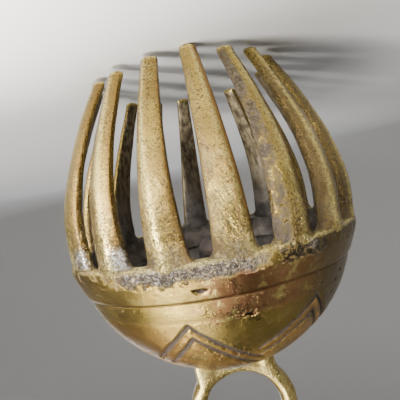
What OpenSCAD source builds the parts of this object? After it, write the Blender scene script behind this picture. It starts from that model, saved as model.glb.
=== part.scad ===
// Claw bell: a cast brass bell with a ring of inward-curving claws around its mouth,
// a loop on the crown to hang it by, and an iron clapper linked to a staple inside.
// Millimetres. +Z is up, the loop is at the top, and the bell stands on its claw tips at z = 0.
// The eye of the loop faces front and back, along Y.

/* [Bell] */
// Outside radius of the rim
rim_r = 60; // [52:1:70]
// Height of the crown above the rim
dome_h = 56; // [52:1:62]
// Height of the proud band above the rim
band_h = 13.2; // [11:0.2:15]
// How far the band stands proud of the dome
band_proud = 0.8; // [0.4:0.1:1.2]
// Wall thickness of the dome
wall = 4; // [3:0.1:4.5]
// Wall thickness at the rim, where the claws stand
rim_wall = 5.6; // [5.2:0.1:6]
// Share of the dome's side that is a straight cone and not round
dome_cone = 0.19; // [0.1:0.01:0.3]
// Height of the turned line above the rim
line_h = 20; // [18:0.5:22]

/* [Claws] */
// Number of claws
claw_n = 17; // [12:1:18]
// Length of the longest claw
claw_h = 70; // [60:1:76]
// Width of a claw near its root
claw_w = 13.2; // [11:0.1:13.6]
// Width of a claw at its tip
tip_w = 5.8; // [4:0.1:8]
// Thickness of a claw near its root
claw_t = 5.2; // [4.6:0.1:5.4]
// Thickness of a claw at its tip
tip_t = 3.8; // [3:0.1:4.4]
// How far a claw bows outwards below the rim
claw_bulge = 0.145; // [0.1:0.005:0.18]
// How strongly a claw curls inwards
claw_curl = 0.56; // [0.5:0.01:0.6]
// How much the curl eases off at the tip
claw_ease = 0.136; // [0.1:0.002:0.16]
// Turn of the first claw from the front, degrees
claw_first = 62.4; // [50:0.1:72]
// How far the spacing drifts from even, degrees
claw_drift = 5.2; // [0:0.1:5.5]
// How far a claw leans sideways at most, degrees
claw_lean = 4.6; // [0:0.1:5]
// How far all the claws turn together by their tips, degrees
claw_twist = 1.8; // [0:0.1:3]

/* [Loop] */
// Radius of the loop's eye
eye_r = 16.6; // [14:0.1:17]
// Thickness of the loop, from its eye outwards
loop_w = 7.4; // [6.5:0.1:8.5]
// Depth of the loop, from front to back
loop_d = 9; // [8:0.5:11]
// Height of the loop's centre above the rim
loop_h = 79.4; // [79:0.1:80]

/* [Ornament] */
// Number of chevrons around the dome
chevron_n = 7; // [5:1:7]
// Turn of the first chevron from the front, degrees
chevron_first = 14; // [0:1:51]
// Width of an incised line
cut_w = 1.2; // [0.8:0.1:1.6]
// Depth of an incised line
cut_d = 0.7; // [0.3:0.1:0.9]

/* [Clapper] */
// Diameter of the staple's bar and of the link's bar
bar_d = 3; // [2.6:0.1:3.2]
// Height of the staple's bar above the rim
staple_h = 44; // [43.5:0.1:44.5]
// Distance from the staple's bar to the link's bar
link_l = 10; // [9.6:0.1:10.6]
// Height of the ball's centre above the rim
ball_h = 8; // [8:0.5:14]
// Radius of the clapper's ball
ball_r = 7; // [6:0.1:7.2]
// Diameter of the clapper's rod
rod_d = 4.4; // [3.6:0.1:5]

/* [Hidden] */
$fn = 96;

brass = [0.72, 0.58, 0.30];
brass_dark = [0.62, 0.48, 0.24];
brass_light = [0.78, 0.65, 0.36];
iron = [0.25, 0.24, 0.23];

// The rim plane is one claw length above the tips.
rim_z = claw_h;
// Height of the claws' drop that each claw of the ring falls short of the longest, by hand.
claw_short = [1.5, 2.5, 1.5, 0, 2, 2, 3, 2, 3, 0, 4, 2, 3, 3, 2.5, 0, 1.5, 1];
dome_r = rim_r - 3.8 - band_proud;
band_top_r = dome_r + band_proud;
fit = 0.05;
loop_r = eye_r + loop_w;
// The underside of the crown is flat inside this angle of the profile.
crown_a = 78;
crown_in = band_h + (dome_h - wall - band_h) * sin(crown_a);

// One point of the dome's profile, by its angle up from the band.
function dome_pt(r, top, a) =
    [r * ((1 - dome_cone) * cos(a) + dome_cone * (1 - sin(a))), band_h + (top - band_h) * sin(a)];
// The dome's outer profile from the band to the crown.
dome_outer = [for (a = [0 : 6 : 90]) dome_pt(dome_r, dome_h, a)];
dome_inner = [for (a = [0 : 6 : crown_a]) dome_pt(dome_r - wall, dome_h - wall, a)];

// The filled dome, used to trim what stands on it.
module dome_solid(grow = 0) {
    rotate_extrude()
        polygon(concat([[0, band_h]], [for (a = [0 : 6 : 90]) dome_pt(dome_r + grow, dome_h + grow, a)]));
}

// A ring with a triangular section that cuts the turned line.
module turned_line() {
    a = asin((line_h - band_h) / (dome_h - band_h));
    c = dome_pt(dome_r, dome_h, a);
    rotate_extrude()
        polygon([c + [-0.5, 0.15], c + [1, -0.9], c + [1, 1.1]]);
}

// Two nested chevrons, flat in XZ, with their peaks towards the band.
module chevron(peak, drop, half) {
    polygon([[0, peak], [half, peak + drop], [half, peak + drop + cut_w * 1.5], [0, peak + cut_w * 1.5],
        [-half, peak + drop + cut_w * 1.5], [-half, peak + drop]]);
}

// One chevron's lines, cut from outside down to the depth of the line.
module incised(turn, peak, drop, half) {
    difference() {
        rotate([90, 0, turn])
            translate([0, 0, half])
                linear_extrude(height = rim_r - half)
                    chevron(peak, drop, half);
        dome_solid(grow = -cut_d);
    }
}

module bell_dome() {
    color(brass)
        translate([0, 0, rim_z])
            difference() {
                rotate_extrude()
                    polygon(concat(dome_outer, [[0, crown_in]], [for (i = [len(dome_inner) - 1 : -1 : 0]) dome_inner[i]]));
                turned_line();
                for (i = [0 : chevron_n - 1]) {
                    incised(chevron_first + i * 360 / chevron_n, dome_h * 0.39, dome_h * 0.32, dome_r * 0.29);
                    incised(chevron_first + i * 360 / chevron_n, dome_h * 0.49, dome_h * 0.28, dome_r * 0.22);
                }
            }
}

module rim_band() {
    color(brass_dark)
        translate([0, 0, rim_z])
            rotate_extrude()
                polygon([
                    [rim_r, 0], [rim_r - 0.3, band_h * 0.25], [rim_r - 1.2, band_h * 0.5],
                    [rim_r - 2.4, band_h * 0.75], [band_top_r + 0.2, band_h - 0.6], [band_top_r - 0.3, band_h],
                    [dome_r - wall, band_h], [rim_r - rim_wall - 1.4, band_h * 0.5], [rim_r - rim_wall, 0]]);
}

// Outside radius of a claw at the depth d below the rim.
function claw_r(d) = let (u = d / rim_r)
    rim_r * (1 + claw_bulge * u - claw_curl * u * u + claw_ease * u * u * u);
// Half of a claw's section, from the ridge of its outer face round to its inner face:
// [share of the width, share of the thickness].
half_section = [[0.24, 0.06], [0.41, 0.22], [0.5, 0.5], [0.47, 0.88], [0.37, 1]];
section = concat([[0, 0]], half_section, [for (i = [4 : -1 : 0]) [-half_section[i][0], half_section[i][1]]]);
sides = len(section);
// Shares of the length at which the sections stand, and how much each is widened.
steps = [0, 0.02, 0.055, 0.11, 0.2, 0.3, 0.41, 0.53, 0.65, 0.77, 0.88, 0.96, 0.987, 1];
flare = [1.24, 1.1, 1.02, 1, 1, 1, 1, 1, 1, 1, 1, 1, 0.94, 0.78];

// One ring of points of a claw. It leans by the angle lean at its tip.
function claw_ring(k, len_c, turn, lean) = let (
        s = steps[k], d = s * len_c, r = claw_r(d),
        w = (claw_w + (tip_w - claw_w) * s) * flare[k],
        t = (claw_t + (tip_t - claw_t) * s) * (flare[k] < 1 ? flare[k] : 1),
        a = turn + lean * s)
    [for (p = section) let (rad = r - p[1] * t - (claw_t * (1 - min(flare[k], 1))) / 2, off = p[0] * w)
        [rad * sin(a) + off * cos(a), -rad * cos(a) + off * sin(a), rim_z - d]];

module claw(i) {
    even = claw_first - i * 360 / claw_n;
    turn = even - claw_drift * cos(even - 22);
    lean = claw_twist + claw_lean * sin(even - 32);
    rings = [for (k = [0 : len(steps) - 1]) claw_ring(k, claw_h - claw_short[i], turn, lean)];
    last = len(steps) - 1;
    color(i % 2 == 0 ? brass_light : brass)
        polyhedron(
            points = [for (ring = rings) for (p = ring) p],
            faces = concat(
                [[for (j = [sides - 1 : -1 : 0]) j]],
                [for (k = [0 : last - 1]) for (j = [0 : sides - 1])
                    [k * sides + j, k * sides + (j + 1) % sides, (k + 1) * sides + (j + 1) % sides,
                        (k + 1) * sides + j]],
                [[for (j = [0 : sides - 1]) last * sides + j]]));
}

// One side of the loop's foot: it runs straight down from the ring and spreads onto the dome.
foot_side = [[loop_r * 0.79, loop_h - loop_r * 0.61], [loop_r * 0.805, dome_h + 2], [loop_r * 0.83, dome_h - 1.5],
    [loop_r * 0.9, dome_h - 5], [loop_r, dome_h - 9], [loop_r, dome_h - 14]];
// The hanging loop is a ring with its eye along Y and a foot that spreads onto the crown.
module suspension_loop() {
    color(brass_light)
        translate([0, 0, rim_z])
            difference() {
                union() {
                    translate([0, 0, loop_h])
                        rotate([90, 0, 0])
                            rotate_extrude()
                                polygon([
                                    [eye_r, -loop_d * 0.26], [eye_r + 1.3, -loop_d * 0.44],
                                    [eye_r + 2.8, -loop_d / 2], [loop_r - 2.8, -loop_d / 2],
                                    [loop_r - 1, -loop_d * 0.4], [loop_r, -loop_d * 0.2],
                                    [loop_r, loop_d * 0.2], [loop_r - 1, loop_d * 0.4],
                                    [loop_r - 2.8, loop_d / 2], [eye_r + 2.8, loop_d / 2],
                                    [eye_r + 1.3, loop_d * 0.44], [eye_r, loop_d * 0.26]]);
                    translate([0, loop_d / 2, 0])
                        rotate([90, 0, 0])
                            linear_extrude(height = loop_d)
                                difference() {
                                    polygon(concat(foot_side, [for (i = [len(foot_side) - 1 : -1 : 0])
                                        [-foot_side[i][0], foot_side[i][1]]]));
                                    translate([0, loop_h])
                                        circle(r = eye_r + 1.3);
                                }
                }
                dome_solid();
            }
}

// The staple is let into the flat underside of the crown. The link turns on its straight bar.
staple_w = 12;
module clapper_staple() {
    color(iron)
        translate([0, 0, rim_z]) {
            for (side = [-1, 1])
                translate([side * staple_w / 2, 0, staple_h])
                    cylinder(d = bar_d, h = crown_in - staple_h);
            for (side = [-1, 1])
                translate([side * staple_w / 2, 0, staple_h])
                    sphere(d = bar_d);
            translate([-staple_w / 2, 0, staple_h])
                rotate([0, 90, 0])
                    cylinder(d = bar_d, h = staple_w);
        }
}

// The link is a shackle: an eye on the staple's bar, two cheeks, and a bar for the rod.
link_w = 4.4;
eye_out = 3.6;
cheek_in = 3.6;
cheek_t = 1.7;
module clapper_link() {
    color(iron)
        translate([0, 0, rim_z + staple_h])
            difference() {
                union() {
                    rotate([0, 90, 0])
                        cylinder(r = eye_out, h = link_w, center = true);
                    translate([-link_w / 2, -cheek_in - cheek_t, -5.2])
                        cube([link_w, 2 * (cheek_in + cheek_t), 2.4]);
                    for (side = [-1, 1])
                        translate([0, side * (cheek_in + cheek_t / 2), 0]) {
                            translate([-link_w / 2, -cheek_t / 2, -link_l])
                                cube([link_w, cheek_t, link_l - 2.8]);
                            translate([0, 0, -link_l])
                                rotate([90, 0, 0])
                                    cylinder(d = link_w, h = cheek_t, center = true);
                        }
                    translate([0, 0, -link_l])
                        rotate([90, 0, 0])
                            cylinder(d = bar_d, h = 2 * cheek_in + 1, center = true);
                }
                rotate([0, 90, 0])
                    cylinder(d = bar_d + 2 * fit, h = link_w + 2, center = true);
            }
}

// The rod hangs from the link's bar by an eye, and the ball is forged onto its lower end.
rod_eye_r = 3.3;
rod_eye_w = 6.4;
module clapper_rod() {
    color(iron)
        translate([0, 0, rim_z + staple_h - link_l])
            difference() {
                union() {
                    rotate([90, 0, 0])
                        cylinder(r = rod_eye_r, h = rod_eye_w, center = true);
                    translate([0, 0, -(staple_h - link_l - ball_h)])
                        cylinder(d = rod_d, h = staple_h - link_l - ball_h - bar_d / 2 - 0.6);
                }
                rotate([90, 0, 0])
                    cylinder(d = bar_d + 2 * fit, h = rod_eye_w + 2, center = true);
                translate([0, 0, -(staple_h - link_l - ball_h)])
                    sphere(r = ball_r);
            }
}

module clapper_ball() {
    color(iron)
        translate([0, 0, rim_z + ball_h])
            sphere(r = ball_r);
}

bell_dome();
rim_band();
suspension_loop();
claw(0);  // claw_01
claw(1);  // claw_02
claw(2);  // claw_03
claw(3);  // claw_04
claw(4);  // claw_05
claw(5);  // claw_06
claw(6);  // claw_07
claw(7);  // claw_08
claw(8);  // claw_09
claw(9);  // claw_10
claw(10);  // claw_11
claw(11);  // claw_12
claw(12);  // claw_13
claw(13);  // claw_14
claw(14);  // claw_15
claw(15);  // claw_16
claw(16);  // claw_17
clapper_staple();
clapper_link();
clapper_rod();
clapper_ball();
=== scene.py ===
"""Claw bell: the visible surfaces of a cast brass bell, its hanging loop and its iron clapper."""

import math

import bmesh
import bpy
from bpy.props import FloatProperty, FloatVectorProperty, IntProperty, PointerProperty
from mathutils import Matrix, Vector, noise


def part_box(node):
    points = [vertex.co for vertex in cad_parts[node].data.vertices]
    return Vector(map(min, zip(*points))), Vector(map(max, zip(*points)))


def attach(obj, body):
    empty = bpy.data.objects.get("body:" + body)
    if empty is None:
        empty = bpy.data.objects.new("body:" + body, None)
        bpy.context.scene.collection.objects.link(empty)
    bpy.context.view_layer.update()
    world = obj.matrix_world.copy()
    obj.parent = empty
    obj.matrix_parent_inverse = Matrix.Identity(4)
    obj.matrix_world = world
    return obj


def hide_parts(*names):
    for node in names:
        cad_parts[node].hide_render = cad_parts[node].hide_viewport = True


bl_info = {
    "name": "Claw bell",
    "version": (1, 0, 0),
    "blender": (4, 5, 0),
    "location": "3D View > Sidebar > Claw bell",
    "description": "Builds a cast claw bell with its loop and clapper",
    "category": "Add Mesh",
}

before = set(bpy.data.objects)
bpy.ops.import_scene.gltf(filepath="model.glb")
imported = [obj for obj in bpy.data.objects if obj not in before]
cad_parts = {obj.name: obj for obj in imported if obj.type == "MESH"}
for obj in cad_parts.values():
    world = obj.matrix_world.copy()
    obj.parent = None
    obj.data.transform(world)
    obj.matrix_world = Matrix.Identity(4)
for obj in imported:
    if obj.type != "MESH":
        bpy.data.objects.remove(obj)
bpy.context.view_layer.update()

# Patterns and marks in the finishes are sized in millimetres.
MM = 0.001
PER_METRE = 1000.0

CLAWS = sorted(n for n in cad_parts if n.startswith("claw_"))
RIM_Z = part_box("rim_band")[0].z
RIM_R = (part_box("rim_band")[1].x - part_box("rim_band")[0].x) / 2
BAND_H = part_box("rim_band")[1].z - RIM_Z
CROWN_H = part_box("bell_dome")[1].z - RIM_Z

# Vertices closer than this are one.
MERGE = 1e-6
# How far a claw's root runs up into the band.
ROOT_SUNK = 0.0022
# How far from its end a claw's tip starts to round over.
TIP_ROUND = 0.0009
# Claws with marks of their own, counted from 1: one with a sharp ridge and a tan facet with painted shade
# beside it, one with a grey scabby flank, and the first few, whose roots carry a painted bluish reflection.
RIDGED_CLAW = TAN_AND_SHADE_CLAW = 4
GREY_CLAW = 5
PAINTED_REFLECTION_CLAWS = 2

# How finely each piece is cut up.
DOME_TURNS = 690
DOME_RISE_STEPS = 104
DOME_INNER_STEPS = 30
BAND_TURNS = 560
BAND_SPACING = 0.00062
CLAW_RINGS = 112
CLAW_SIDES = 44
SWEEP_TURNS = 96
LOOP_TURNS = 96
LOOP_VOXEL = 0.0005
LOOP_SMOOTHINGS = 34

# Each chevron is two lines: (height of its peak, steepness against the inner line, reach to each side).
CHEVRON_LINES = ((0.0216, 1.0, 0.0188), (0.0270, 1.08, 0.0158))
# A chevron's arms rise steeply on its left and less so on its right.
CHEVRON_LEFT = 1.20
CHEVRON_RIGHT = 0.88

# Colours of single marks, besides those in the settings.
SPOT_BROWN = (0.065, 0.044, 0.018)
DULL_GOLD = (0.26, 0.165, 0.045)
PALE_COPPER = (0.40, 0.23, 0.10)
# Painted shadow line along the band's proud top edge, over its dark seam.
SEAM_AND_SHADOW_BROWN = (0.06, 0.04, 0.02)
HOLE_BLACK = (0.02, 0.014, 0.01)
# Olive patina with painted shade on the dome's side away from the key light.
OLIVE_AND_SHADE_BROWN = (0.075, 0.050, 0.016)
WARM_ORANGE = (0.42, 0.21, 0.045)
CHEVRON_ORANGE = (0.47, 0.26, 0.06)
MOTTLE_BROWN = (0.16, 0.075, 0.03)
CRUST_DARK_GOLD = (0.30, 0.22, 0.12)
CRUST_PALE_GOLD = (0.70, 0.60, 0.40)
CRUST_PALE_GREY = (0.27, 0.25, 0.25)
CRACK_BLACK = (0.025, 0.020, 0.022)
NICK_BROWN = (0.10, 0.07, 0.028)
# Brown patina on the claws' edges, strengthened as painted shade on their flanks.
EDGE_BROWN_AND_SHADE = (0.15, 0.095, 0.030)
# Tan on one claw's facet, and painted shade on one flank of every claw.
FACET_TAN_AND_SHADE = (0.29, 0.155, 0.042)
SCAB_DARK = (0.028, 0.023, 0.021)
SCAB_PALE = (0.17, 0.135, 0.105)
SCAB_LOWER = (0.07, 0.06, 0.055)
# Painted bluish reflection on the roots of the first claws.
PAINTED_REFLECTION_BLUE = (0.60, 0.68, 0.76)
STIPPLE_BROWN = (0.13, 0.10, 0.07)
LOOP_GOLD = (0.80, 0.62, 0.29)
DIRT_BLACK = (0.010, 0.006, 0.006)
DIRT_BROWN = (0.060, 0.040, 0.036)
LINING_DARK = (0.050, 0.048, 0.050)
LINING_PALE = (0.17, 0.155, 0.145)
CLAW_BACK_DARK = (0.070, 0.056, 0.038)
CLAW_BACK_PALE = (0.31, 0.255, 0.16)
FLOOR_PALE = (0.6, 0.6, 0.62)


# ---------------------------------------------------------------- settings


class DomeSettings(bpy.types.PropertyGroup):
    """Sizes of the domed body and its ornament."""

    radius: FloatProperty(
        name="Radius",
        description="Outside radius where the dome leaves the band",
        default=0.0554,
        unit="LENGTH",
    )
    wall: FloatProperty(name="Wall", description="Thickness of the casting", default=0.004, unit="LENGTH")
    cone: FloatProperty(
        name="Cone share",
        description="Share of the dome's side that runs straight",
        default=0.19,
        min=0,
        max=1,
    )
    line_height: FloatProperty(
        name="Turned line",
        description="Height of the turned line above the rim",
        default=0.020,
        unit="LENGTH",
    )
    chevrons: IntProperty(name="Chevrons", description="Number of chevrons around the dome", default=7)
    chevron_turn: FloatProperty(
        name="First chevron",
        description="Turn of the first chevron from the front",
        default=math.radians(14.2),
        subtype="ANGLE",
        unit="ROTATION",
    )
    cut_width: FloatProperty(
        name="Line width", description="Width of an incised line", default=0.0017, unit="LENGTH"
    )
    cut_depth: FloatProperty(
        name="Line depth", description="Depth of an incised line", default=0.00065, unit="LENGTH"
    )


class ClawSettings(bpy.types.PropertyGroup):
    """Sizes of the claws."""

    root_width: FloatProperty(
        name="Root width", description="Width near the root", default=0.0134, unit="LENGTH"
    )
    tip_width: FloatProperty(name="Tip width", description="Width at the tip", default=0.0058, unit="LENGTH")
    root_thickness: FloatProperty(
        name="Root thickness", description="Thickness near the root", default=0.0064, unit="LENGTH"
    )
    tip_thickness: FloatProperty(
        name="Tip thickness", description="Thickness at the tip", default=0.0046, unit="LENGTH"
    )
    bulge: FloatProperty(
        name="Bulge", description="How far a claw bows outwards below the rim", default=0.145
    )
    curl: FloatProperty(name="Curl", description="How strongly a claw curls inwards", default=0.56)
    ease: FloatProperty(name="Ease", description="How much the curl eases off at the tip", default=0.136)
    fillet: FloatProperty(
        name="Fillet",
        description="Radius of the fillet where a claw meets the rim",
        default=0.0022,
        unit="LENGTH",
    )


class LoopSettings(bpy.types.PropertyGroup):
    """Sizes of the hanging loop."""

    breadth: FloatProperty(
        name="Breadth",
        description="Thickness of the loop from its eye outwards",
        default=0.0074,
        unit="LENGTH",
    )
    depth: FloatProperty(
        name="Depth", description="Depth of the loop from front to back", default=0.0088, unit="LENGTH"
    )


class FinishSettings(bpy.types.PropertyGroup):
    """Colours of the brass and the iron."""

    bright: FloatVectorProperty(
        name="Bright brass", description="Rubbed high places", subtype="COLOR", default=(0.86, 0.715, 0.26)
    )
    brass: FloatVectorProperty(
        name="Brass", description="The main colour", subtype="COLOR", default=(0.50, 0.365, 0.088)
    )
    ochre: FloatVectorProperty(
        name="Ochre brass", description="Thin brown patina", subtype="COLOR", default=(0.30, 0.208, 0.060)
    )
    copper: FloatVectorProperty(
        name="Copper bloom", description="Reddish patches", subtype="COLOR", default=(0.37, 0.170, 0.085)
    )
    crust: FloatVectorProperty(
        name="Casting crust",
        description="Grey crust in rough places",
        subtype="COLOR",
        default=(0.20, 0.175, 0.165),
    )
    grime: FloatVectorProperty(
        name="Grime", description="Dark dirt in pits", subtype="COLOR", default=(0.035, 0.028, 0.022)
    )
    iron: FloatVectorProperty(
        name="Iron", description="The clapper's forged iron", subtype="COLOR", default=(0.11, 0.10, 0.095)
    )
    rust: FloatVectorProperty(
        name="Rust", description="Rust on the clapper", subtype="COLOR", default=(0.16, 0.07, 0.03)
    )


class StageSettings(bpy.types.PropertyGroup):
    """The floor, the lights and the camera."""

    floor: FloatVectorProperty(
        name="Floor",
        description="Colour of the floor and backdrop",
        subtype="COLOR",
        default=(0.66, 0.66, 0.67),
    )
    radius: FloatProperty(
        name="Backdrop", description="Radius of the round backdrop", default=1.7, unit="LENGTH"
    )
    key_power: FloatProperty(
        name="Key light", description="Power of the main light", default=10.5, unit="POWER"
    )
    fill_power: FloatProperty(
        name="Fill light", description="Power of the fill light", default=2.6, unit="POWER"
    )
    ambient: FloatProperty(
        name="Ambient", description="Strength of the even light from all round", default=0.06
    )
    camera_place: FloatVectorProperty(
        name="Camera",
        description="Place of the camera",
        subtype="TRANSLATION",
        unit="LENGTH",
        default=(0.0, -0.1750, 0.0476),
    )
    camera_turn: FloatVectorProperty(
        name="Camera turn",
        description="Turn of the camera",
        subtype="EULER",
        default=tuple(math.radians(angle) for angle in (-92.44, -10.99, 179.81)),
    )
    lens: FloatProperty(name="Lens", description="Focal length on a 36 mm sensor", default=36.0)


class BellSettings(bpy.types.PropertyGroup):
    """Everything a user may change on the bell."""

    dome: PointerProperty(type=DomeSettings)
    claw: PointerProperty(type=ClawSettings)
    loop: PointerProperty(type=LoopSettings)
    finish: PointerProperty(type=FinishSettings)
    stage: PointerProperty(type=StageSettings)


# ---------------------------------------------------------------- shader arithmetic


class Wire:
    """An output socket of a finish. Arithmetic on it adds Math nodes."""

    def __init__(self, finish, socket):
        self.finish = finish
        self.socket = socket

    def _math(self, operation, first, second=None):
        inputs = {0: first} if second is None else {0: first, 1: second}
        return self.finish.node("ShaderNodeMath", {"operation": operation}, inputs)

    def __add__(self, other):
        return self._math("ADD", self, other)

    def __radd__(self, other):
        return self._math("ADD", other, self)

    def __sub__(self, other):
        return self._math("SUBTRACT", self, other)

    def __rsub__(self, other):
        return self._math("SUBTRACT", other, self)

    def __mul__(self, other):
        return self._math("MULTIPLY", self, other)

    def __rmul__(self, other):
        return self._math("MULTIPLY", other, self)

    def __truediv__(self, other):
        return self._math("DIVIDE", self, other)

    def __pow__(self, other):
        return self._math("POWER", self, other)

    def bend(self, operation, other=None):
        """Any other Math operation on this value."""
        return self._math(operation, self, other)


class Finish:
    """A material under construction on object coordinates, in millimetres."""

    def __init__(self, name):
        self.material = bpy.data.materials.new(name)
        self.material.use_nodes = True
        self.tree = self.material.node_tree
        self.shader = self.tree.nodes["Principled BSDF"]
        coords = self.node("ShaderNodeTexCoord", out="Object")
        self.place = self.node(
            "ShaderNodeVectorMath", {"operation": "SCALE"}, {0: coords, "Scale": PER_METRE}, out="Vector"
        )
        self.x, self.y, self.z = self.node("ShaderNodeSeparateXYZ", {}, {0: self.place}, out=("X", "Y", "Z"))

    def node(self, kind, settings=None, inputs=None, out=0):
        """Adds a node: its settings first, then the values or links of its sockets."""
        made = self.tree.nodes.new(kind)
        for key, value in (settings or {}).items():
            setattr(made, key, value)
        for key, value in (inputs or {}).items():
            if isinstance(value, Wire):
                self.tree.links.new(value.socket, made.inputs[key])
            else:
                made.inputs[key].default_value = value
        if isinstance(out, tuple):
            return tuple(Wire(self, made.outputs[o]) for o in out)
        return Wire(self, made.outputs[out])

    def noise(self, size, detail=3.0, rough=0.55, where=None, distortion=0.0):
        """Noise from 0 to 1 with features of about that size in millimetres."""
        return self.node(
            "ShaderNodeTexNoise",
            {"noise_dimensions": "3D"},
            {"Vector": where or self.place, "Scale": 1.0 / size, "Detail": detail, "Roughness": rough,
             "Distortion": distortion},
            out="Fac",
        )

    def step(self, value, low, high):
        """0 below low, 1 above high and smooth between. High below low turns it over."""
        return self.node(
            "ShaderNodeMapRange",
            {"interpolation_type": "SMOOTHSTEP"},
            {"Value": value, "From Min": low, "From Max": high, "To Min": 0.0, "To Max": 1.0},
            out="Result",
        )

    def window(self, value, low, high, soft):
        """1 between low and high, with soft shoulders."""
        return self.step(value, low - soft, low + soft) * self.step(value, high + soft, high - soft)

    def mix(self, mask, under, over):
        """The colour under, covered by the colour over where the mask is 1."""
        def colour(c):
            return c if isinstance(c, Wire) else (*c, 1.0)

        return self.node(
            "ShaderNodeMix", {"data_type": "RGBA"}, {0: mask, 6: colour(under), 7: colour(over)}, out=2
        )

    def joined(self, x, y, z):
        """A vector from three values."""
        return self.node("ShaderNodeCombineXYZ", {}, {"X": x, "Y": y, "Z": z}, out="Vector")

    def around(self):
        """The turn about the bell's axis in degrees, 0 at the front and positive to the right."""
        return self.x.bend("ARCTAN2", self.y * -1.0) * (180 / math.pi)

    def worn(self, name):
        """A value kept on the piece's own vertices."""
        return self.node("ShaderNodeAttribute", {"attribute_name": name}, out="Fac")

    def bump(self, height, distance):
        """A bump from a height, where a height of 1 stands that distance in millimetres proud."""
        inputs = {"Height": height, "Distance": distance * MM, "Strength": 1.0}
        return self.node("ShaderNodeBump", {}, inputs, out="Normal")

    def wear(self, colour, rough, metal, normal):
        """Feeds what changes over the surface into the shader."""
        looks = {"Base Color": colour, "Roughness": rough, "Metallic": metal, "Normal": normal}
        for key, value in looks.items():
            if isinstance(value, Wire):
                self.tree.links.new(value.socket, self.shader.inputs[key])
            else:
                self.shader.inputs[key].default_value = value
        return self.material


class BrassFinish(Finish):
    """Brass under construction: its look so far, and the values that all its marks read."""

    def __init__(self, name, style):
        super().__init__(name)
        self.style = style
        self.tone = bpy.context.scene.claw_bell.finish
        self.turn = self.around()
        self.side = self.turn * -1.0
        self.height = self.z - RIM_Z * PER_METRE
        self.patches = self.noise(26, 3, 0.5)
        self.cloud = self.noise(7, 4, 0.6)
        self.grain = self.noise(0.9, 3, 0.6)
        self.cut = self.worn("cut")
        self.bare_and_highlight = self.worn("bare_and_highlight")
        self.inside = self.worn("inside")
        pores = self.noise(0.55, 3, 0.6)
        self.fleck = self.step(pores + self.step(self.noise(9, 3, 0.6), 0.42, 0.66) * 0.10, 0.68, 0.78)
        self.colour = self.mix(self.step(self.patches, 0.36, 0.62), self.tone.brass, self.tone.ochre)
        self.rough = (0.13 if style == "claw" else 0.22) + self.cloud * 0.14
        self.metal = 1.0 - self.fleck * 0.5
        self.relief = self.grain * 0.6 + self.noise(0.38, 2, 0.6) * 0.35

    def paint(self, mask, over):
        """Covers the look so far with a colour where the mask is 1."""
        self.colour = self.mix(mask, self.colour, over)


def lay_patina(f):
    """Bright clouds, ochre grain and small brown spots, all over."""
    f.paint(f.step(f.cloud, 0.52, 0.74) * 0.45, f.tone.bright)
    f.paint(f.step(f.grain, 0.52, 0.70) * 0.55, f.tone.ochre)
    spots = f.noise(0.62, 3, 0.7)
    spotted = f.step(spots, 0.51, 0.58) if f.style in ("claw", "loop") else f.step(spots, 0.58, 0.68) * 0.6
    spotted = spotted * f.step(f.cloud, 0.27, 0.54)
    f.paint(spotted * 0.92, SPOT_BROWN)
    f.metal = f.metal - spotted * 0.4


def lay_turning(f):
    """A duller gold, brushed round the bell as it was turned, on the dome and the band."""
    f.paint(0.42 if f.style == "dome" else 0.30, DULL_GOLD)
    brushed = f.noise(0.42, 2, 0.5, where=f.joined(f.turn * 0.10, 0.0, f.height))
    f.paint(f.step(brushed, 0.45, 0.75) * 0.22, f.tone.bright)
    f.relief = f.relief + brushed * 0.22


def lay_copper_bloom(f):
    """A large reddish patch at the front and small ones elsewhere, with gold showing through."""
    ragged = f.cloud * 9 + f.grain * 3 - 6
    bloom = f.window(f.side + ragged, -4, 36, 3) * f.window(f.height + ragged * 0.7, 5.4, 20.5, 1.0)
    elsewhere = f.step(f.noise(21, 4, 0.6), 0.61, 0.66)
    bloom = bloom.bend("MAXIMUM", elsewhere * 0.55)
    gold = f.step(f.noise(5.0, 4, 0.65), 0.55, 0.63)
    red = f.mix(f.step(f.noise(2.2, 4, 0.65), 0.42, 0.6), f.tone.copper, PALE_COPPER)
    f.paint(bloom * (1.0 - gold * 0.85) * 0.85, red)
    f.paint(bloom * gold * 0.5, f.tone.bright)


def lay_casting_faults(f):
    """The dark seam on top of the band with painted shadow along it, a slit in it, pinholes, and an olive
    patina with painted shade round to one side.
    """
    band_top = BAND_H * PER_METRE
    # The seam's dark line is partly a painted shadow of the band's proud edge.
    seam_and_shadow = f.window(f.height, band_top - 0.75, band_top + 0.25, 0.25)
    f.paint(seam_and_shadow * f.step(f.cloud, 0.30, 0.62) * 0.75, SEAM_AND_SHADOW_BROWN)
    f.relief = f.relief - seam_and_shadow * 1.6
    holes = f.step(f.noise(1.5, 4, 0.7), 0.42, 0.50)
    slit = f.window(f.side, -8.6, -4.2, 0.8) * f.window(f.height + f.grain, 9.2, 10.0, 0.35)
    nest = f.window(f.side, 5.2, 9.8, 1.0) * f.window(f.height + f.grain, 19.6, 21.8, 0.5)
    open_holes = slit.bend("MAXIMUM", nest * holes)
    f.paint(open_holes * 0.95, HOLE_BLACK)
    # Olive patina with painted shade over it, on the dome's side away from the key light.
    olive_and_shade = f.step(f.side + f.cloud * 10, 12, 42) * f.step(f.side, 120, 70)
    f.paint(olive_and_shade * 0.84, OLIVE_AND_SHADE_BROWN)
    f.metal = f.metal - olive_and_shade * 0.35
    stain = f.window(f.side + f.cloud * 8, 23, 43, 3) * f.window(f.height + f.cloud * 4, 1.0, 8.5, 1.0)
    f.paint(stain * holes * 0.95, f.tone.grime)
    f.relief = f.relief - open_holes * 3.0 - stain * holes * 1.2


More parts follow.
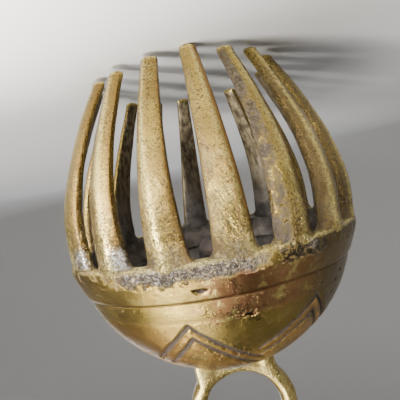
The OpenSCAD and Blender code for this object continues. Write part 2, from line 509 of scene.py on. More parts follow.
def lay_chevrons(f):
    """Dirt in the chevrons' lines, which follow the cuts in the mesh, and the warmer metal inside them."""
    dome = bpy.context.scene.claw_bell.dome
    pitch = 360.0 / dome.chevrons
    swing = f.turn - math.degrees(dome.chevron_turn)
    off = f.node("ShaderNodeMath", {"operation": "WRAP"}, {0: swing, 1: pitch / 2, 2: -pitch / 2})
    number = (swing - off) / pitch
    span = (f.x * f.x + f.y * f.y) ** 0.5
    across = span * (off * (math.pi / 180)).bend("SINE")
    lean = CHEVRON_LEFT - f.step(across, -0.5, 0.5) * (CHEVRON_LEFT - CHEVRON_RIGHT)
    lean = lean * (1.0 + (number * 1.7).bend("SINE") * 0.07)
    ragged = (f.noise(7, 2, 0.5) - 0.5) * 1.2 + (f.noise(1.5, 4, 0.7) - 0.5) * 1.1
    ragged = ragged + (number * 2.3).bend("SINE") * 0.7
    reach = across.bend("ABSOLUTE")
    for peak, steep, limit in CHEVRON_LINES:
        gap = (f.height - peak * PER_METRE - reach * lean * steep + ragged).bend("ABSOLUTE")
        end = limit * PER_METRE
        f.cut = f.cut.bend("MAXIMUM", f.step(gap, 1.25, 0.75) * f.step(reach, end, end - 1.0))
    warm = f.window(f.side + f.cloud * 12, -50, -18, 8) * f.window(f.height + f.cloud * 6, 24, 44, 4)
    f.paint(warm * 0.6, WARM_ORANGE)
    field = f.worn("field")
    f.paint(field * f.step(f.cloud, 0.36, 0.56) * 0.6, CHEVRON_ORANGE)
    mottle = f.step(f.noise(1.7, 4, 0.65), 0.50, 0.62)
    f.paint(field * mottle * 0.55, MOTTLE_BROWN)
    f.relief = f.relief - field * mottle * 0.8


def lay_casting_crust(f):
    """Knobbly cracked crust round the rim and up the claws' roots, thickest at the front."""
    edge = f.noise(3.2, 5, 0.7) * 9 - 4.5
    crusted = f.step(f.height + edge, 6.4, 4.8) * f.step(f.height, -7.5, -1.5)
    crusted = crusted * f.window(f.turn + edge * 1.5, -14, 33, 4)
    specks = f.step(f.noise(5, 3, 0.6), 0.55, 0.66) * f.window(f.height, -5, 4, 2) * 0.7
    crusted = crusted.bend("MAXIMUM", specks)
    nubs = f.noise(1.1, 5, 0.72, distortion=0.8)
    hollow = f.step(nubs, 0.60, 0.46)
    crust = f.mix(f.step(f.grain, 0.35, 0.65), CRUST_DARK_GOLD, CRUST_PALE_GOLD)
    crust = f.mix(hollow, crust, f.mix(f.step(f.cloud, 0.4, 0.62), f.tone.crust, CRUST_PALE_GREY))
    crust = f.mix(f.step(nubs, 0.47, 0.37), crust, f.tone.grime)
    crackle = f.step((f.noise(2.1, 4, 0.7, distortion=0.8) - 0.5).bend("ABSOLUTE"), 0.060, 0.020)
    crust = f.mix(crackle * 0.95, crust, CRACK_BLACK)
    strength = crusted * (0.95 if f.style == "band" else 0.5)
    f.paint(strength, crust)
    f.rough = f.rough + strength * 0.22
    f.metal = f.metal - strength * 0.45
    f.relief = f.relief - crusted * crackle * 2.5 - crusted * hollow * 1.8


def lay_file_marks(f):
    """Slanting file marks near the front claws' middles, and fine lines drawn along every claw."""
    arc = f.turn * (math.pi / 180 * 58)
    slant = arc * 0.90 + f.height * 0.44
    along = f.height * 0.90 - arc * 0.44
    strokes = f.noise(0.55, 3, 0.6, where=f.joined(slant, along * 0.05, 0.0))
    where = f.noise(12, 2, 0.5) + f.window(f.turn, -15, 3, 3) * 0.25
    filed = f.window(f.height, -32, -4, 6) * f.step(where, 0.52, 0.70)
    lines = f.step(strokes, 0.54, 0.68) * filed
    f.paint(lines * 0.6, f.tone.bright)
    f.paint(f.step(strokes, 0.48, 0.40) * filed * 0.6, NICK_BROWN)
    drawn = f.noise(0.8, 3, 0.6, where=f.joined(f.x, f.y, f.z * 0.05))
    f.paint(f.step(drawn, 0.52, 0.74) * 0.35, f.tone.ochre)
    f.relief = f.relief + (1.0 - lines) * 0.9 * filed + drawn * 0.5


def lay_claw_ageing(f):
    """Brown edges and tan facets, both with painted shade on the flanks, grey scabs, a painted bluish
    reflection on two roots, and stippling near the roots.
    """
    # Brown patina on both edges of each claw, also painted shade on the flanks.
    f.paint(f.worn("aged_and_shaded") * 0.75, EDGE_BROWN_AND_SHADE)
    # Tan facet on one claw, and painted shade on one flank of every claw.
    tan_and_shade = f.worn("tan_and_shade")
    f.paint(tan_and_shade * 0.80, FACET_TAN_AND_SHADE)
    scab = f.noise(0.9, 5, 0.7)
    grey = f.worn("grey") * f.step(f.cloud + f.grain * 0.4, 0.50, 0.72)
    scabby = f.mix(f.step(scab, 0.44, 0.60), SCAB_DARK, SCAB_PALE)
    f.paint(grey * 0.9, f.mix(f.step(f.height, -40, -4) * 0.6, scabby, SCAB_LOWER))
    f.rough = f.rough + grey * 0.30 + tan_and_shade * 0.12
    f.metal = f.metal - grey * 0.6
    # A painted bluish reflection on the first claws' roots.
    f.paint(f.worn("painted_reflection") * f.step(scab, 0.35, 0.6) * 0.75, PAINTED_REFLECTION_BLUE)
    stipple = f.step(f.noise(1.0, 4, 0.7), 0.50, 0.58) * f.step(f.height + f.cloud * 12, -20, 2)
    f.paint(stipple * 0.75, STIPPLE_BROWN)
    f.relief = f.relief - grey * f.step(scab, 0.6, 0.4) * 2.0 - stipple * 0.9


def lay_dirt(f):
    """Bare metal where it rubs, with painted highlights on the claws' crests, grime in the pits, and dark
    dirt in the cuts.
    """
    # Rubbed bright metal; on the claws' crests it is also painted highlight.
    f.paint(f.bare_and_highlight * f.step(f.grain, 0.35, 0.55) * 0.85, f.tone.bright)
    f.paint(f.fleck * 0.62, f.tone.grime)
    dirt = f.step(f.cut + f.grain * 0.5 - 0.25, 0.30, 0.75)
    f.paint(dirt * 0.95, f.mix(f.step(f.grain, 0.40, 0.7), DIRT_BLACK, DIRT_BROWN))
    f.rough = f.rough + dirt * 0.45 - f.bare_and_highlight * 0.05
    f.metal = f.metal - dirt * 0.9


def lay_lining(f):
    """The dull grey inner faces, browner and streaked towards the claws' tips."""
    lining = f.mix(f.step(f.cloud, 0.40, 0.66), LINING_DARK, LINING_PALE)
    if f.style == "claw":
        streaks = f.noise(1.6, 4, 0.6, where=f.joined(f.x, f.y, f.z * 0.12))
        back = f.mix(f.step(streaks, 0.38, 0.62), CLAW_BACK_DARK, CLAW_BACK_PALE)
        lining = f.mix(f.step(f.height, -2, -38), lining, back)
    old = f.inside * f.step(f.cloud + f.patches * 0.4, 0.25, 0.6)
    f.paint(f.inside * 0.6 + old * 0.35, lining)
    f.rough = f.rough + f.inside * 0.22
    f.metal = f.metal - f.inside * 0.35


def brass_finish(name, style):
    """Old cast brass. style is dome, band, claw or loop, and sets which marks it carries."""
    f = BrassFinish(name, style)
    lay_patina(f)
    if style in ("dome", "band"):
        lay_turning(f)
        lay_copper_bloom(f)
        lay_casting_faults(f)
    if style == "dome":
        lay_chevrons(f)
    if style in ("band", "claw"):
        lay_casting_crust(f)
    if style == "claw":
        lay_file_marks(f)
        lay_claw_ageing(f)
    if style == "loop":
        f.relief = f.relief + f.cloud * 0.9
        f.paint(f.step(f.cloud, 0.3, 0.6) * 0.35, LOOP_GOLD)
    lay_dirt(f)
    lay_lining(f)
    normal = f.bump(f.relief - f.fleck * 0.5, 0.13 if style == "claw" else 0.22)
    return f.wear(f.colour, f.rough, f.metal, normal)


def iron_finish(name):
    """Forged iron, dark and a little rusty."""
    tone = bpy.context.scene.claw_bell.finish
    f = Finish(name)
    cloud = f.noise(4, 4, 0.6)
    grain = f.noise(0.6, 3, 0.6)
    colour = f.mix(f.step(cloud, 0.50, 0.72) * 0.6, tone.iron, tone.rust)
    colour = f.mix(f.step(grain, 0.5, 0.8) * 0.5, colour, tone.grime)
    metal = 0.9 - f.step(cloud, 0.42, 0.66) * 0.6
    return f.wear(colour, 0.52 + cloud * 0.25, metal, f.bump(grain + cloud, 0.25))


def floor_finish(name):
    """A matt pale sweep with a very fine tooth."""
    tone = bpy.context.scene.claw_bell.stage
    f = Finish(name)
    tooth = f.noise(3.0, 2, 0.5)
    colour = f.mix(tooth * 0.06, tone.floor, FLOOR_PALE)
    return f.wear(colour, 0.85, 0.0, f.bump(tooth, 0.05))


def finish_named(name, maker, *style):
    """The finish of that name, made the first time it is asked for."""
    return bpy.data.materials.get(name) or maker(name, *style)


# ---------------------------------------------------------------- mesh helpers


def put_piece(name, bm, body, nodes, material):
    """Turns a bmesh into a piece that rides on a body and stands for the CAD nodes."""
    mesh = bpy.data.meshes.new(name)
    bm.to_mesh(mesh)
    bm.free()
    mesh.shade_smooth()
    mesh.materials.append(material)
    piece = bpy.data.objects.new(name, mesh)
    bpy.context.scene.collection.objects.link(piece)
    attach(piece, body)
    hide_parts(*nodes)
    return piece


def keep_values(bm, name, rule):
    """Keeps a value on each vertex for the finish to read."""
    layer = bm.verts.layers.float.get(name) or bm.verts.layers.float.new(name)
    for v in bm.verts:
        v[layer] = rule(v)


def smooth_step(value, low, high):
    """0 below low, 1 above high and smooth between."""
    t = min(max((value - low) / (high - low), 0.0), 1.0)
    return t * t * (3 - 2 * t)


def lumps(co, size, seed=0.0):
    """Smooth noise from -1 to 1 with features of about that size in metres."""
    return noise.noise(co / size + Vector((seed, seed * 0.7, -seed)))


def spun(bm, points, centre, axis, turns):
    """Spins a line of points all the way round an axis, and merges what meets."""
    verts = [bm.verts.new(point) for point in points]
    edges = [bm.edges.new(pair) for pair in zip(verts, verts[1:])]
    bmesh.ops.spin(
        bm,
        geom=verts + edges,
        cent=centre,
        axis=axis,
        dvec=(0, 0, 0),
        angle=2 * math.pi,
        steps=turns,
        use_merge=True,
        use_duplicate=False,
    )
    bmesh.ops.remove_doubles(bm, verts=bm.verts, dist=MERGE)
    bmesh.ops.recalc_face_normals(bm, faces=bm.faces)


def turned(profile, turns):
    """A solid turned about the bell's axis from a line of (radius, height above the rim)."""
    bm = bmesh.new()
    spun(bm, [(r, 0, RIM_Z + h) for r, h in profile], (0, 0, 0), (0, 0, 1), turns)
    bm.verts.index_update()
    bm.normal_update()
    return bm


def between(points, spacing):
    """The same line with points no further apart than the spacing."""
    line = [points[0]]
    for a, b in zip(points, points[1:]):
        count = max(1, math.ceil(math.dist(a, b) / spacing))
        line += [tuple(a[k] + (b[k] - a[k]) * i / count for k in (0, 1)) for i in range(1, count + 1)]
    return line


def tapered_block(bm, top, bottom):
    """A block between two level rectangles, each given as (low x, high x, depth in Y, height)."""
    for v in bmesh.ops.create_cube(bm, size=1.0)["verts"]:
        low, high, depth, height = top if v.co.z > 0 else bottom
        v.co = Vector((high if v.co.x > 0 else low, v.co.y * depth, height))


def outwards(co):
    """The level direction straight out from the bell's axis."""
    return Vector((co.x, co.y, 0)).normalized()


def dome_point(radius, top, angle):
    """(radius, height above the rim) on the dome, by the angle up from the band."""
    cone = bpy.context.scene.claw_bell.dome.cone
    return (
        radius * ((1 - cone) * math.cos(angle) + cone * (1 - math.sin(angle))),
        BAND_H + (top - BAND_H) * math.sin(angle),
    )


def dome_height(radius, dome):
    """Height of the dome's outside above the rim, at a distance from the bell's axis."""
    steps = 60
    for i in range(steps + 1):
        angle = math.pi / 2 * i / steps
        if dome_point(dome.radius, CROWN_H, angle)[0] < radius:
            break
    return dome_point(dome.radius, CROWN_H, angle)[1]


def remeshed(name, bm, voxel, rounds):
    """One skin around everything in the bmesh, smoothed by that many rounds."""
    mesh = bpy.data.meshes.new(name)
    bm.to_mesh(mesh)
    bm.free()
    thing = bpy.data.objects.new(name, mesh)
    bpy.context.scene.collection.objects.link(thing)
    wrap = thing.modifiers.new("Skin", "REMESH")
    wrap.mode = "VOXEL"
    wrap.voxel_size = voxel
    skin = bpy.data.meshes.new_from_object(thing.evaluated_get(bpy.context.evaluated_depsgraph_get()))
    bpy.data.objects.remove(thing)
    bpy.data.meshes.remove(mesh)
    out = bmesh.new()
    out.from_mesh(skin)
    bpy.data.meshes.remove(skin)
    for _ in range(rounds):
        bmesh.ops.smooth_vert(
            out, verts=out.verts, factor=0.5, use_axis_x=True, use_axis_y=True, use_axis_z=True
        )
    bmesh.ops.recalc_face_normals(out, faces=out.faces)
    return out


# ---------------------------------------------------------------- pieces


def cut_share(co, dome):
    """(depth of an incised line, whether the place is inside a chevron), each from 0 to 1."""
    radius = math.hypot(co.x, co.y)
    height = co.z - RIM_Z
    pitch = 2 * math.pi / dome.chevrons
    turn = math.atan2(co.x, -co.y) - dome.chevron_turn
    number = round(turn / pitch)
    narrow, wide = dome.cut_width * 0.22, dome.cut_width * 0.62
    deepest, within = 0.0, 0.0
    for k in (number - 1, number, number + 1):
        off = turn - k * pitch
        across = radius * math.sin(off) if abs(off) < math.pi / 2 else 1.0
        wobble = lumps(co, 0.007, 3.0) * 0.0006 + lumps(co, 0.0016, 8.0) * 0.00022
        wobble += math.sin(k * 2.3) * 0.0007
        lean = (CHEVRON_RIGHT if across > 0 else CHEVRON_LEFT) * (1 + 0.07 * math.sin(k * 1.7))
        for peak, steep, reach in CHEVRON_LINES:
            if abs(across) > reach:
                continue
            rise = lean * steep
            gap = abs(height - peak - abs(across) * rise + wobble) / math.hypot(1.0, rise)
            ends = smooth_step(reach - abs(across), 0.0, 0.0012)
            deepest = max(deepest, ends * (1 - smooth_step(gap, narrow, wide)))
        above = height - CHEVRON_LINES[0][0] - abs(across) * lean
        if above > 0:
            within = max(within, smooth_step(above, 0.0, 0.0015))
    return deepest, within


class CLAWBELL_OT_dome(bpy.types.Operator):
    """Build the domed body with its incised chevrons"""

    bl_idname = "claw_bell.dome"
    bl_label = "Dome"

    def execute(self, context):
        dome = context.scene.claw_bell.dome
        rise = [math.pi / 2 * i / DOME_RISE_STEPS for i in range(1, DOME_RISE_STEPS)]
        outer = [(dome.radius - 0.0006, BAND_H - 0.0008), (dome.radius, BAND_H - 0.0002)]
        outer += [dome_point(dome.radius, CROWN_H, angle) for angle in rise] + [(0.0, CROWN_H)]
        # The inside stops three steps short of the middle, where the crown's underside is flat.
        climb = [math.pi / 2 * i / DOME_INNER_STEPS for i in range(DOME_INNER_STEPS - 3)]
        inner = [dome_point(dome.radius - dome.wall, CROWN_H - dome.wall, angle) for angle in climb]
        lip = (dome.radius - dome.wall + 0.0004, BAND_H - 0.0008)
        # From the middle of the flat underside of the crown, down the inside and up the outside.
        bm = turned([(0.0, inner[-1][1])] + inner[::-1] + [lip] + outer, DOME_TURNS)
        deep = {}
        field = {}
        for v in bm.verts:
            height = v.co.z - RIM_Z
            radius = math.hypot(v.co.x, v.co.y)
            angle = math.asin(min(max((height - BAND_H) / (CROWN_H - BAND_H), 0), 1))
            inside = radius < dome_point(dome.radius, CROWN_H, angle)[0] - 0.0012
            if inside or height < BAND_H - 0.0001:
                deep[v.index] = field[v.index] = 0.0
                continue
            deep[v.index], field[v.index] = cut_share(v.co, dome)
            line = 1 - smooth_step(abs(height - dome.line_height), 0.0002, 0.0006)
            out = outwards(v.co) if radius > 1e-5 else Vector((0, 0, 1))
            tilt = (out * radius + Vector((0, 0, height * 0.9))).normalized()
            hand = lumps(v.co, 0.018) * 0.00022 + lumps(v.co, 0.006, 5.0) * 0.00010
            pits = smooth_step(lumps(v.co, 0.0022, 9.0), 0.42, 0.62)
            pits *= smooth_step(lumps(v.co, 0.02, 4.0), 0.1, 0.4)
            v.co += tilt * (hand - deep[v.index] * dome.cut_depth - line * 0.0002 - pits * 0.00028 - 0.0002)
            deep[v.index] = max(deep[v.index], line * 0.42, pits * 0.7)
        heart = Vector((0, 0, RIM_Z))
        keep_values(bm, "cut", lambda v: deep[v.index])
        keep_values(bm, "field", lambda v: field[v.index] * (1 - deep[v.index]))
        keep_values(bm, "inside", lambda v: 1.0 if v.normal.dot(v.co - heart) < 0 else 0.0)
        keep_values(bm, "bare_and_highlight", lambda v: 0.0)
        put_piece(
            "dome", bm, "bell", ["bell_dome"], finish_named("brass_dome", brass_finish, "dome")
        )
        return {"FINISHED"}


class CLAWBELL_OT_band(bpy.types.Operator):
    """Build the proud band at the rim, where the claws stand"""

    bl_idname = "claw_bell.band"
    bl_label = "Band"

    def execute(self, context):
        dome = context.scene.claw_bell.dome
        # From under the dome down the inside, round the rim and up the face, as (radius, height).
        face = [
            (0.0070, BAND_H * 0.5), (0.0057, 0.0012), (0.0052, 0.0004), (0.0043, 0.0000), (0.0018, 0.0000),
            (0.0008, 0.0004), (0.0002, 0.0012), (0.0001, 0.0024), (0.0003, 0.0040), (0.0012, 0.0066),
            (0.0023, 0.0096), (0.0034, 0.0121), (0.0038, BAND_H - 0.0006), (0.0043, BAND_H - 0.0001),
        ]
        profile = [(dome.radius - dome.wall, BAND_H - 0.0004)]
        profile += [(RIM_R - inset, height) for inset, height in face]
        profile += [(dome.radius - 0.0010, BAND_H - 0.0002), profile[0]]
        bm = turned(between(profile, BAND_SPACING), BAND_TURNS)
        slots = {}
        for v in bm.verts:
            height = v.co.z - RIM_Z
            turn = math.degrees(math.atan2(v.co.x, -v.co.y))
            slot = 1 - smooth_step(math.hypot((turn - 6.4) * 0.00038, height - 0.0096), 0.0003, 0.0009)
            if math.hypot(v.co.x, v.co.y) > RIM_R - 0.0050:
                ragged = lumps(v.co, 0.0032, 2.0) * 0.0022
                rough = smooth_step(-(height + ragged), -0.0062, -0.0045)
                front = 0.9 if -44 < turn < 30 else 0.0
                rough *= smooth_step(lumps(v.co, 0.017, 8.0) + front, -0.1, 0.3)
                crust = lumps(v.co, 0.0013, 1.0) * 0.00030 + lumps(v.co, 0.0028, 6.0) * 0.00020 - 0.00022
                hand = lumps(v.co, 0.016) * 0.00022 + lumps(v.co, 0.005, 5.0) * 0.00008
                streak = lumps(Vector((turn * 0.0006, 0, height)), 0.0011, 7.0)
                grooves = smooth_step(streak, 0.25, 0.6) * 0.00010
                v.co += outwards(v.co) * (hand + rough * crust - grooves - slot * 0.0009 - 0.0001)
            v.co.z += lumps(v.co, 0.012, 3.0) * 0.00025 * smooth_step(0.004 - height, 0.0, 0.004)
            slots[v.index] = slot
        keep_values(bm, "cut", lambda v: slots[v.index])
        keep_values(bm, "inside", lambda v: 1.0 if v.normal.x * v.co.x + v.normal.y * v.co.y < -0.03 else 0.0)
        keep_values(bm, "bare_and_highlight", lambda v: 1 - smooth_step(v.co.z - RIM_Z, 0.0004, 0.0018))
        put_piece(
            "band", bm, "bell", ["rim_band"], finish_named("brass_band", brass_finish, "band")
        )
        return {"FINISHED"}


def claw_line(node):
    """(turn at the root, turn at the tip, length) of a claw, read from its CAD node."""
    low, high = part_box(node)
    ends = []
    for level in (high.z, low.z):
        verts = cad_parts[node].data.vertices
        ring = [v.co for v in verts if abs(v.co.z - level) < 0.0002]
        centre = sum(ring, Vector()) / len(ring)
        ends.append(math.atan2(centre.x, -centre.y))
    return ends[0], ends[1], high.z - low.z


def claw_crest(number, share):
    """Where the ridge of a claw runs across its face, from -1 to 1."""
    if number == RIDGED_CLAW:
        return -0.25 - 0.42 * (0.9 - share)
    if number == GREY_CLAW:
        return -0.15 - 0.15 * (0.9 - share)
    return 0.10 + 0.28 * math.sin(number * 2.1 + share * 1.6)


def claw_point(share, angle, line, claw, number):
    """A point on a claw: share runs from the root to the tip, and angle is the turn about its section."""
    root, tip, length = line
    depth = share * length
    down = max(share, 0.0)
    u = depth / RIM_R
    radius = RIM_R * (1 + claw.bulge * max(u, 0) - claw.curl * u * u + claw.ease * max(u, 0) ** 3)
    width = claw.root_width + (claw.tip_width - claw.root_width) * down
    thick = claw.root_thickness + (claw.tip_thickness - claw.root_thickness) * down
    if depth < claw.fillet:
        gap = min(claw.fillet - depth, claw.fillet)
        width += 2 * (claw.fillet - math.sqrt(max(claw.fillet**2 - gap**2, 0.0)))
    from_tip = length - depth
    shrink = 1.0
    if from_tip < TIP_ROUND:
        # The tip rounds over to 62 hundredths of the section.
        shrink = math.sqrt(max(1 - ((TIP_ROUND - from_tip) / TIP_ROUND) ** 2, 0.0)) * 0.38 + 0.62
    c, s = math.cos(angle), math.sin(angle)
    across = math.copysign(abs(c) ** 0.72, c)
    if s < 0:
        out = -(abs(s) ** 0.42)
    elif abs(c) < 0.999:
        crest = claw_crest(number, share)
        reach = 1 + crest if across < crest else 1 - crest
        tent = max(1 - abs(across - crest) / reach, 0.0)
        dome = max(1 - abs(across) ** 2.1, 0.0) ** 0.52
        out = dome * 0.60 + 0.40 * (tent * 0.75 + 0.25 * tent**3)
    else:
        out = 0.0
    lean = root + (tip - root) * down
    side = Vector((math.cos(lean), math.sin(lean), 0))
    away = Vector((math.sin(lean), -math.cos(lean), 0))
    place = away * (radius - thick / 2 + out * thick / 2 * shrink) + side * (across * width / 2 * shrink)
    return place + Vector((0, 0, RIM_Z - depth))


def claw_marks(number):
    """The values that the finish reads on a claw. Each rule takes the place on the claw: c from -1 to 1
    across it, t above 0 on its outer face and below 0 on its inner one, and w from root to tip."""

    def inside(c, t, w):
        return smooth_step(-t, 0.25, 0.75) * (1 - smooth_step(w, 0.965, 0.985))

    # Patina on the claw's edges, also painted shade on its flanks.
    def aged_and_shaded(c, t, w):
        return smooth_step(abs(c), 0.66, 0.97) * smooth_step(t, -0.5, 0.1) * (1 - w)

    # Tan facet on one claw, and painted shade on one flank of every claw.
    def tan_and_shade(c, t, w):
        if t <= 0:
            return 0.0
        if number == TAN_AND_SHADE_CLAW:
            return smooth_step(-c, 0.12, 0.34) * smooth_step(w, -0.1, 0.3)
        return 0.35 * smooth_step(-c, 0.35, 0.8)

    def grey(c, t, w):
        if t <= -0.2:
            return 0.0
        return (1.0 if number == GREY_CLAW else 0.30) * smooth_step(c, 0.10, 0.45)

    # Rubbed bright tips and crests; the crests also carry painted highlights.
    def bare_and_highlight(c, t, w):
        tip = smooth_step(w, 0.975, 0.992)
        if t <= 0:
            return tip
        return max(tip, 0.8 * (1 - smooth_step(abs(c - claw_crest(number, w)), 0.04, 0.32)))

    # A painted bluish reflection on the roots of the first claws.
    def painted_reflection(c, t, w):
        if number > PAINTED_REFLECTION_CLAWS or t <= 0:
            return 0.0
        return smooth_step(-c, -0.1, 0.5) * smooth_step(w, -0.01, 0.02) * (1 - smooth_step(w, 0.06, 0.13))

    def no_cut(c, t, w):
        return 0.0

    return {
        "inside": inside, "aged_and_shaded": aged_and_shaded, "tan_and_shade": tan_and_shade, "grey": grey, "bare_and_highlight": bare_and_highlight, "painted_reflection": painted_reflection, "cut": no_cut,
    }


class CLAWBELL_OT_claws(bpy.types.Operator):
    """Build the ring of claws"""

    bl_idname = "claw_bell.claws"
    bl_label = "Claws"

    def execute(self, context):
        claw = context.scene.claw_bell.claw
        for number, node in enumerate(CLAWS, start=1):
            line = claw_line(node)
            length = line[2]
            bm = bmesh.new()
            # A flat grid wrapped round the claw: X goes round its section and Y goes down it.
            bmesh.ops.create_grid(bm, x_segments=CLAW_SIDES, y_segments=CLAW_RINGS, size=0.5)
            bm.verts.index_update()
            share = {}
            angle = {}
            for v in bm.verts:
                share[v.index] = ((v.co.y + 0.5) * (length + ROOT_SUNK) - ROOT_SUNK) / length
                angle[v.index] = (v.co.x + 0.5) * 2 * math.pi
                v.co = claw_point(share[v.index], angle[v.index], line, claw, number)
            away = Vector((math.sin(line[0]), -math.cos(line[0]), 0))
            seed = (number - 1) * 3.7
            for v in bm.verts:
                hand = lumps(v.co, 0.014, seed) * 0.00035 + lumps(v.co, 0.005, seed + 2) * 0.00014
                hand += lumps(v.co, 0.0021, seed + 5) * 0.00007
                w = share[v.index]
                fade = smooth_step(w, 0.0, 0.08) * (1 - smooth_step(w, 0.97, 0.99))
                v.co += away * (hand - 0.00035) * fade
            for name, rule in claw_marks(number).items():
                keep_values(
                    bm,
                    name,
                    lambda v: rule(math.cos(angle[v.index]), math.sin(angle[v.index]), share[v.index]),
                )
            bmesh.ops.remove_doubles(bm, verts=bm.verts, dist=2e-6)
            bmesh.ops.holes_fill(bm, edges=[e for e in bm.edges if e.is_boundary], sides=0)
            bmesh.ops.recalc_face_normals(bm, faces=bm.faces)
            put_piece(
                node.replace("claw_", "curved_claw_"), bm, "bell", [node],
                finish_named("brass_claw", brass_finish, "claw"),
            )
        return {"FINISHED"}


class CLAWBELL_OT_loop(bpy.types.Operator):
    """Build the hanging loop and its spreading foot"""

    bl_idname = "claw_bell.loop"
    bl_label = "Hanging loop"

    def execute(self, context):
        loop = context.scene.claw_bell.loop
        dome = context.scene.claw_bell.dome
        low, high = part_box("suspension_loop")
        outer = (high.x - low.x) / 2
        centre = Vector((0, 0, high.z - outer))
        half = loop.depth / 2
        inner = outer - loop.breadth
        # One half of the ring's section, as (distance from the eye's centre, share of the half depth).
        section = [
            (inner, 0.30), (inner + 0.0010, 0.72), (inner + 0.0026, 0.97), (outer - 0.0034, 0.99),
            (outer - 0.0012, 0.76), (outer, 0.34),
        ]
        section += [(r, -y) for r, y in section[::-1]]
        section.append(section[0])
        bm = bmesh.new()
        spun(bm, [centre + Vector((r, y * half, 0)) for r, y in section], centre, (0, 1, 0), LOOP_TURNS)
        crown = RIM_Z + CROWN_H
        leg_top, leg_foot = crown + 0.0105, crown - 0.0095
        deep_top, deep_foot = loop.depth * 0.98, loop.depth * 1.35
        wide = outer * 0.76
        tapered_block(bm, (-wide, -0.0128, deep_top, leg_top), (outer * -0.62, -0.0075, deep_foot, leg_foot))
        tapered_block(bm, (0.0128, wide, deep_top, leg_top), (0.0075, outer * 0.80, deep_foot, leg_foot))
        # The foot between the legs, and the low collar that spreads on to the crown.
        tapered_block(
            bm,
            (-0.0110, 0.0110, loop.depth * 0.90, crown + 0.0030),
            (-0.0165, 0.0165, loop.depth * 1.5, crown - 0.0085),
        )
        tapered_block(
            bm, (-0.0150, 0.0150, 0.0084, crown + 0.0012), (-0.0205, 0.0205, 0.0190, crown - 0.0075)
        )
        bm = remeshed("loop_skin", bm, LOOP_VOXEL, LOOP_SMOOTHINGS)
        for v in bm.verts:
            # Nothing hangs lower than a little under the dome's skin.
            floor = RIM_Z + dome_height(math.hypot(v.co.x, v.co.y), dome) - 0.0016
            v.co.z = max(v.co.z, floor)
            from_eye = v.co - centre
            from_eye.y = 0
            if from_eye.length > 1e-4:
                hand = lumps(v.co, 0.009, 2.0) * 0.00028 + lumps(v.co, 0.0028, 6.0) * 0.00012 - 0.0001
                v.co += from_eye.normalized() * hand + Vector((0, lumps(v.co, 0.006, 11.0) * 0.00018, 0))
        keep_values(bm, "inside", lambda v: 0.0)
        keep_values(bm, "cut", lambda v: 0.0)
        keep_values(bm, "bare_and_highlight", lambda v: 0.5 * smooth_step(abs(v.co.y), half * 0.55, half * 0.8))
        put_piece(
            "hanging_loop", bm, "bell", ["suspension_loop"], finish_named("brass_loop", brass_finish, "loop"),
        )
        return {"FINISHED"}


def forged(node, name, body, voxel, rounds, worn=0.00002):
    """A forged iron piece: the CAD node's shape, worn down a little and with its edges rounded."""
    bm = bmesh.new()
    bm.from_mesh(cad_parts[node].data)
    bmesh.ops.remove_doubles(bm, verts=bm.verts, dist=MERGE)
    bm = remeshed(name + "_skin", bm, voxel, rounds)
    for v in bm.verts:
        v.co += v.normal * (lumps(v.co, 0.004, 1.0) * 0.00010 - worn)
    return put_piece(name, bm, body, [node], finish_named("forged_iron", iron_finish))


class CLAWBELL_OT_clapper(bpy.types.Operator):
    """Build the staple, the link, the rod and the ball"""

    bl_idname = "claw_bell.clapper"
    bl_label = "Clapper"

    def execute(self, context):
        forged("clapper_staple", "staple", "bell", 0.00022, 3)
        forged("clapper_link", "link", "link", 0.00022, 4, worn=0.00010)
        forged("clapper_rod", "rod", "clapper", 0.00024, 4)
        forged("clapper_ball", "ball", "clapper", 0.00040, 2)
        return {"FINISHED"}


def area_light(name, power, size, place, aim, colour):
    """A rectangular light that shines from its place towards a point, and isn't seen itself."""
    lamp = bpy.data.lights.new(name, "AREA")
    lamp.energy = power
    lamp.shape = "RECTANGLE"
    lamp.size, lamp.size_y = size
    lamp.color = colour
    made = bpy.data.objects.new(name, lamp)
    made.location = place
    made.rotation_euler = (Vector(aim) - Vector(place)).to_track_quat("-Z", "Y").to_euler()
    made.visible_camera = False
    bpy.context.scene.collection.objects.link(made)
    return lamp


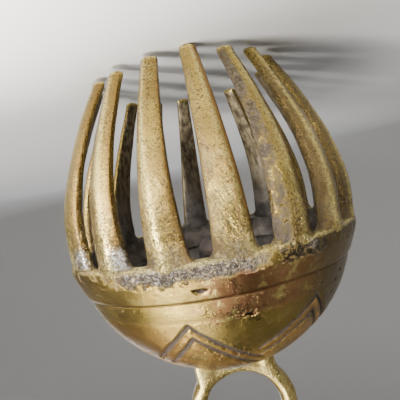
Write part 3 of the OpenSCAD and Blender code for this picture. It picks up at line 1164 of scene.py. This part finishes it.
class CLAWBELL_OT_stage(bpy.types.Operator):
    """Build the round sweep, the lights and the camera"""

    bl_idname = "claw_bell.stage"
    bl_label = "Stage"

    def execute(self, context):
        stage = context.scene.claw_bell.stage
        scene = context.scene
        flat = stage.radius * 0.55
        bend = stage.radius - flat
        quarter = [math.pi / 2 * i / 16 for i in range(1, 17)]
        line = [(0.0, 0.0), (flat * 0.5, 0.0), (flat, 0.0)]
        line += [(flat + bend * math.sin(a), bend * (1 - math.cos(a))) for a in quarter]
        line.append((stage.radius, stage.radius * 1.1))
        bm = bmesh.new()
        spun(bm, [(r, 0, h) for r, h in line], (0, 0, 0), (0, 0, 1), SWEEP_TURNS)
        bm.normal_update()
        if sum(f.normal.z for f in bm.faces) < 0:
            bmesh.ops.reverse_faces(bm, faces=list(bm.faces))
        mesh = bpy.data.meshes.new("sweep")
        bm.to_mesh(mesh)
        bm.free()
        mesh.shade_smooth()
        mesh.materials.append(finish_named("pale_sweep", floor_finish))
        sweep = bpy.data.objects.new("sweep", mesh)
        scene.collection.objects.link(sweep)

        bell = (0, 0, 0.07)
        key, fill = stage.key_power, stage.fill_power
        area_light("key", key, (0.06, 0.46), (0.48, -0.50, 0.235), bell, (1.0, 0.95, 0.86))
        area_light("fill", fill, (0.6, 0.5), (0.20, 0.90, 0.50), bell, (0.93, 0.96, 1.0))
        area_light("glint", fill * 1.5, (0.22, 0.16), (0.34, -0.52, 0.60), bell, (1.0, 0.96, 0.88))
        area_light("overhead", fill * 0.75, (0.35, 0.35), (0.30, -0.10, 0.75), bell, (1.0, 0.96, 0.88))
        near_floor = (0.13, -0.20, 0.0)
        glow = area_light(
            "floor_glow", fill * 1.1, (0.12, 0.10), (0.20, -0.32, 0.42), near_floor, (1.0, 0.97, 0.92)
        )
        glow.spread = math.radians(40)

        world = bpy.data.worlds.new("studio")
        world.use_nodes = True
        background = world.node_tree.nodes["Background"]
        background.inputs["Color"].default_value = (0.92, 0.95, 1.0, 1.0)
        background.inputs["Strength"].default_value = stage.ambient
        scene.world = world

        lens = bpy.data.cameras.new("camera")
        lens.sensor_width = 36.0
        lens.lens = stage.lens
        lens.clip_start = 0.005
        camera = bpy.data.objects.new("camera", lens)
        camera.location = stage.camera_place
        camera.rotation_euler = stage.camera_turn
        scene.collection.objects.link(camera)
        scene.camera = camera
        return {"FINISHED"}


class CLAWBELL_PT_panel(bpy.types.Panel):
    """The bell's pieces and sizes"""

    bl_idname = "CLAWBELL_PT_panel"
    bl_label = "Claw bell"
    bl_space_type = "VIEW_3D"
    bl_region_type = "UI"
    bl_category = "Claw bell"

    def draw(self, context):
        for operator in OPERATORS:
            self.layout.operator(operator.bl_idname)
        settings = context.scene.claw_bell
        for group in ("dome", "claw", "loop", "finish", "stage"):
            box = self.layout.box()
            box.label(text=group.capitalize())
            part = getattr(settings, group)
            for name in part.bl_rna.properties.keys():
                if name not in ("rna_type", "name"):
                    box.prop(part, name)


GROUPS = (DomeSettings, ClawSettings, LoopSettings, FinishSettings, StageSettings, BellSettings)
OPERATORS = (
    CLAWBELL_OT_dome,
    CLAWBELL_OT_band,
    CLAWBELL_OT_claws,
    CLAWBELL_OT_loop,
    CLAWBELL_OT_clapper,
    CLAWBELL_OT_stage,
)


def register():
    for made in (*GROUPS, *OPERATORS, CLAWBELL_PT_panel):
        bpy.utils.register_class(made)
    bpy.types.Scene.claw_bell = PointerProperty(type=BellSettings)


def unregister():
    del bpy.types.Scene.claw_bell
    for made in reversed((*GROUPS, *OPERATORS, CLAWBELL_PT_panel)):
        bpy.utils.unregister_class(made)


def main():
    register()
    bpy.ops.claw_bell.stage()
    bpy.ops.claw_bell.dome()
    bpy.ops.claw_bell.band()
    bpy.ops.claw_bell.claws()
    bpy.ops.claw_bell.loop()
    bpy.ops.claw_bell.clapper()


if __name__ == "__main__":
    main()
